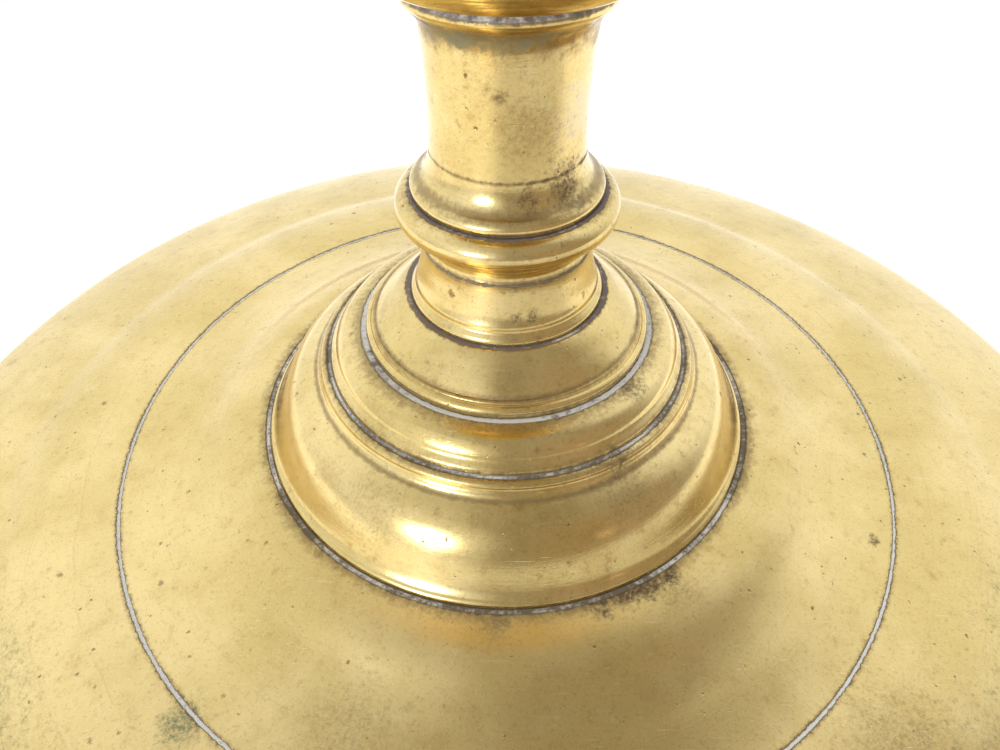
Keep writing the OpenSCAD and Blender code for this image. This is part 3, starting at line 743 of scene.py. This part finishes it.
socket_low, socket_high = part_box("candle_socket")
z_socket = socket_low.z / MM
pan_r = pan_high.x / MM
pan_roll = 1.8
pan_wall = 2.0
socket_foot_r = 15.0
pan_rise = pan_high.z / MM - z_pan
edge = (pan_r - 2 * pan_roll, z_pan + pan_rise - 2.4 * pan_roll)
floor = (pan_r * 0.62, z_pan + 1.8)
roll = (pan_r - pan_roll, z_pan + pan_rise - pan_roll)
pan_points = [
    (12.8, z_pan),
    (13.4, z_pan + 1.3),
    *bow((13.4, z_pan + 1.3), floor, 0.4, 24),
    *bow(floor, edge, 1.6, 24),
    edge,
    *bow((roll[0], roll[1] - pan_roll), (roll[0] + pan_roll, roll[1]), quarter * pan_roll),
    *bow((roll[0] + pan_roll, roll[1]), (roll[0], roll[1] + pan_roll), quarter * pan_roll),
    *bow((roll[0], roll[1] + pan_roll), (roll[0] - pan_roll, roll[1]), quarter * pan_roll),
    (edge[0] - 0.8, edge[1] + pan_wall),
    *bow((edge[0] - 0.8, edge[1] + pan_wall), (floor[0] - 0.5, floor[1] + pan_wall), -1.6, 24),
    *bow((floor[0] - 0.5, floor[1] + pan_wall), (socket_foot_r + 0.9, z_socket + 0.4), -0.3, 24),
    (socket_foot_r + 0.9, z_socket + 0.4),
    (socket_foot_r + 0.9, z_socket),
    *bored(z_pan, z_socket),
]
turned_piece("drip_pan", pan_points, satin, coarse=0.9,
             lines=[(socket_foot_r + 0.4, z_socket + 0.2, 0.3, 1.6, 0.4)], wave_height=0.1, wave_scale=30.0)

# --- Candle socket ------------------------------------------------------------------------
# A waisted cup of thick cast brass with a bead round its middle and a flared lip. Its floor
# is solid and tapped, because the rod screws into it and pulls it down on the pan.

nozzle_low, nozzle_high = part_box("nozzle")
z_nozzle = socket_high.z / MM
bore_r = 12.9
socket_waist = bore_r + 2.6
lip_r = 19.5
cup_z, bead_z, lip_z = z_socket + 12, z_socket + (z_nozzle - z_socket) * 0.42, z_nozzle - 7
well_z = z_nozzle - 36
rod_r, rod_grip = 4.0, 10
stalk = (11, z_socket + 7)
socket_points = [
    (0.0, z_socket + rod_grip),
    (rod_r, z_socket + rod_grip),
    (rod_r, z_socket + recess_h),
    (recess_r, z_socket + recess_h),
    (recess_r, z_socket),
    (socket_foot_r, z_socket),
    *bow((socket_foot_r, z_socket + 1), (socket_foot_r - 0.8, z_socket + 2.6), 0.4, 8),
    *bow((socket_foot_r - 1, z_socket + 2.8), stalk, -0.8, 14),
    *bow(stalk, (socket_waist + 1.6, cup_z + 5), 1.7, 20),
    *bow((socket_waist + 1.6, cup_z + 5), (socket_waist, bead_z - 1.6), -0.3, 10),
    *bow((socket_waist, bead_z - 1.6), (socket_waist, bead_z + 1.6), 1.3, 16),
    *bow((socket_waist, bead_z + 1.6), (socket_waist + 0.6, lip_z - 2), -0.9, 24),
    *bow((socket_waist + 0.6, lip_z - 2), (lip_r - 1.2, lip_z + 1.2), -0.8, 14),
    *bow((lip_r - 0.8, lip_z + 1.4), (lip_r, lip_z + 2.8), 0.3, 6),
    *bow((lip_r, lip_z + 2.8), (lip_r - 1.4, z_nozzle), 0.9, 12),
    (lip_r - 1.4, z_nozzle),
    (bore_r, z_nozzle),
    (bore_r, well_z),
    (bore_r - 2, well_z - 2),
    (0.0, well_z - 2),
]
turned_piece("candle_socket", socket_points, brass, coarse=0.6, segments=300,
             lines=[(socket_foot_r, z_socket, 0.2, 1.2, 0.4), (*stalk, 0.12, 1.0, 0.3),
                    (socket_waist, bead_z - 1.8, 0.12, 0.8, 0.4),
                    (socket_waist, bead_z + 1.8, 0.12, 0.8, 0.4)])

# --- Nozzle -------------------------------------------------------------------------------
# A loose brass liner for the candle, turned thin, with a dished flange. The flange stands on
# the socket's lip, and the nozzle lifts straight out to be cleaned of wax.

candle_r, nozzle_wall = 11.2, 1.4
tube_out = candle_r + nozzle_wall
nozzle_r = nozzle_high.x / MM
floor_z = nozzle_low.z / MM + nozzle_wall + 0.02
chamfer = 0.8
nozzle_points = [
    (0.0, floor_z - nozzle_wall),
    (tube_out - chamfer, floor_z - nozzle_wall),
    (tube_out, floor_z - nozzle_wall + chamfer),
    (tube_out, z_nozzle),
    (lip_r - 1.4, z_nozzle),
    *bow((lip_r - 1.4, z_nozzle), (nozzle_r - 1, z_nozzle + 2.4), 0.5, 20),
    *bow((nozzle_r - 1, z_nozzle + 2.4), (nozzle_r - 1, z_nozzle + 4.36), 0.99, 12),
    *bow((nozzle_r - 1, z_nozzle + 4.36), (nozzle_r - 2.2, z_nozzle + 3.4), 0.4, 8),
    *bow((nozzle_r - 2.2, z_nozzle + 3.4), (candle_r + 2, z_nozzle + 1.6), -0.6, 20),
    *bow((candle_r + 2, z_nozzle + 1.6), (candle_r, z_nozzle + 2.6), 0.5, 10),
    (candle_r, z_nozzle + 2.6),
    (candle_r, floor_z),
    (0.0, floor_z),
]
turned_piece("nozzle", nozzle_points, brass, body="nozzle", coarse=0.6, segments=300,
             lines=[(candle_r + 2, z_nozzle + 1.7, 0.1, 1.6, 0.2)])

# --- Tie rod, clamp plate and nut ---------------------------------------------------------
# Wrought iron work inside and under the foot, never polished and rusty. The rod screws into
# the socket's floor and pulls the whole stem down on the foot; the nut and a plate take its
# pull underneath.


def rusty_iron():
    """Black iron with brown rust in patches."""
    black_iron, brown_rust, orange_rust = srgb(74, 70, 68), srgb(122, 76, 48), srgb(160, 98, 54)
    bench = Bench(bpy.data.materials.new("rusty_iron"))
    where = bench.node("ShaderNodeTexCoord", out="Object")
    scale = bench.noise(where, 260.0, 5.0, 0.7)
    grain = bench.noise(where, 1500.0, 3.0, 0.7)
    rust = (scale + (grain - 0.5) * 0.4).rises(0.46, 0.6)
    colour = bench.mix(rust, black_iron, brown_rust)
    colour = bench.mix(rust * grain.rises(0.5, 0.75) * 0.7, colour, orange_rust)
    bench.plug(bench.shader.inputs["Base Color"], colour)
    bench.plug(bench.shader.inputs["Metallic"], (1 - rust) * 0.9)
    bench.plug(bench.shader.inputs["Roughness"], 0.45 + rust * 0.4)
    relief = scale + grain * 0.6 + rust * 0.4
    bump = bench.node("ShaderNodeBump", Height=relief, Distance=0.0002, Strength=0.7)
    bench.plug(bench.shader.inputs["Normal"], bump)
    return bench.made


iron = rusty_iron()
for node_name in ("tie_rod", "clamp_plate", "clamp_nut"):
    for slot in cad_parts[node_name].material_slots:
        slot.material = iron

# --- Stage --------------------------------------------------------------------------------
# A pale table in a bright room: white walls behind and to the left, a tall window in front on
# the left, and the dim side of the room in front on the right.

table = bpy.data.meshes.new("table")
disc = bmesh.new()
bmesh.ops.create_circle(disc, cap_ends=True, segments=128, radius=0.36)
disc.to_mesh(table)
disc.free()
# The table glows by itself, though it is no lamp. Towards the front right its glow is dim: a painted shadow
# of the dim side of the room, which only its reflections show; the camera sees the table evenly bright.
table_glow, dim_glow, dim_side = (0.64, 0.64, 0.64, 1), (0.1, 0.095, 0.085, 1), math.radians(-62)
paint = Bench(bpy.data.materials.new("pale_table"))
for socket, value in (("Base Color", (0.88, 0.88, 0.87, 1)), ("Roughness", 0.8),
                      ("Emission Strength", 1.0)):
    paint.plug(paint.shader.inputs[socket], value)
outward = paint.node("ShaderNodeTexCoord", out="Object")
outward = paint.node("ShaderNodeVectorMath", {"operation": "NORMALIZE"}, _0=outward)
shade = paint.node("ShaderNodeVectorMath", {"operation": "DOT_PRODUCT"}, out="Value", _0=outward,
                   _1=(math.cos(dim_side), math.sin(dim_side), 0))
glow = paint.mix(shade.rises(0.45, 0.9), table_glow, dim_glow)
seen = paint.node("ShaderNodeLightPath", out="Is Camera Ray")
paint.plug(paint.shader.inputs["Emission Color"], paint.mix(seen, glow, table_glow))
table.materials.append(paint.made)
table_top = bpy.data.objects.new("table", table)
bpy.context.scene.collection.objects.link(table_top)

world = bpy.data.worlds.new("room")
bpy.context.scene.world = world
room = Bench(world)
way = room.node("ShaderNodeTexCoord", out="Generated")


def lit_side(light, azimuth, elevation, inner, outer, colour, strength):
    """The room's light with one side lit: full inside the inner angle, none past the outer."""
    a, e = math.radians(azimuth), math.radians(elevation)
    toward = (math.cos(a) * math.cos(e), math.sin(a) * math.cos(e), math.sin(e))
    lit = room.node("ShaderNodeVectorMath", {"operation": "DOT_PRODUCT"}, out="Value", _0=way, _1=toward)
    share = lit.rises(math.cos(math.radians(outer)), math.cos(math.radians(inner)))
    return room.mix(share, light, tuple(c * strength for c in colour) + (1.0,))


daylight, cool_daylight = (0.95, 1.0, 1.08), (0.95, 1.0, 1.12)
light = (0.42, 0.395, 0.365, 1.0)
for azimuth, elevation, inner, outer, colour, strength in (
        (-165, 30, 16, 62, (0.96, 1.0, 1.02), 0.92),  # pale wall on the left
        (50, 22, 24, 64, daylight, 1.2),              # pale walls behind, right and left
        (135, 14, 28, 68, daylight, 1.24),
        (-131, 14, 8, 42, cool_daylight, 1.18),       # curtained side of the window
        (-122, 11.5, 2, 14, cool_daylight, 8.0),      # window
        (-45, 12, 5, 42, (0.44, 0.37, 0.3), 1.0),     # dim side of the room
        (-48, 7, 1, 4, (0.8, 0.62, 0.46), 1.2)):      # warm lamp there
    light = lit_side(light, azimuth, elevation, inner, outer, colour, strength)
seen = room.node("ShaderNodeLightPath", out="Is Camera Ray")
room.plug(room.shader.inputs["Color"], room.mix(seen, light, (1.0, 1.0, 1.0, 1.0)))

camera = bpy.data.cameras.new("camera")
camera.sensor_width = 36
camera.lens = 25.65
camera.clip_start = 0.005
camera_object = bpy.data.objects.new("camera", camera)
camera_object.location = (-0.00101, -0.08757, 0.11682)
camera_object.rotation_euler = (math.radians(90 - 45.40), 0, 0)
bpy.context.scene.collection.objects.link(camera_object)
bpy.context.scene.camera = camera_object
bpy.context.scene.view_settings.view_transform = "Standard"
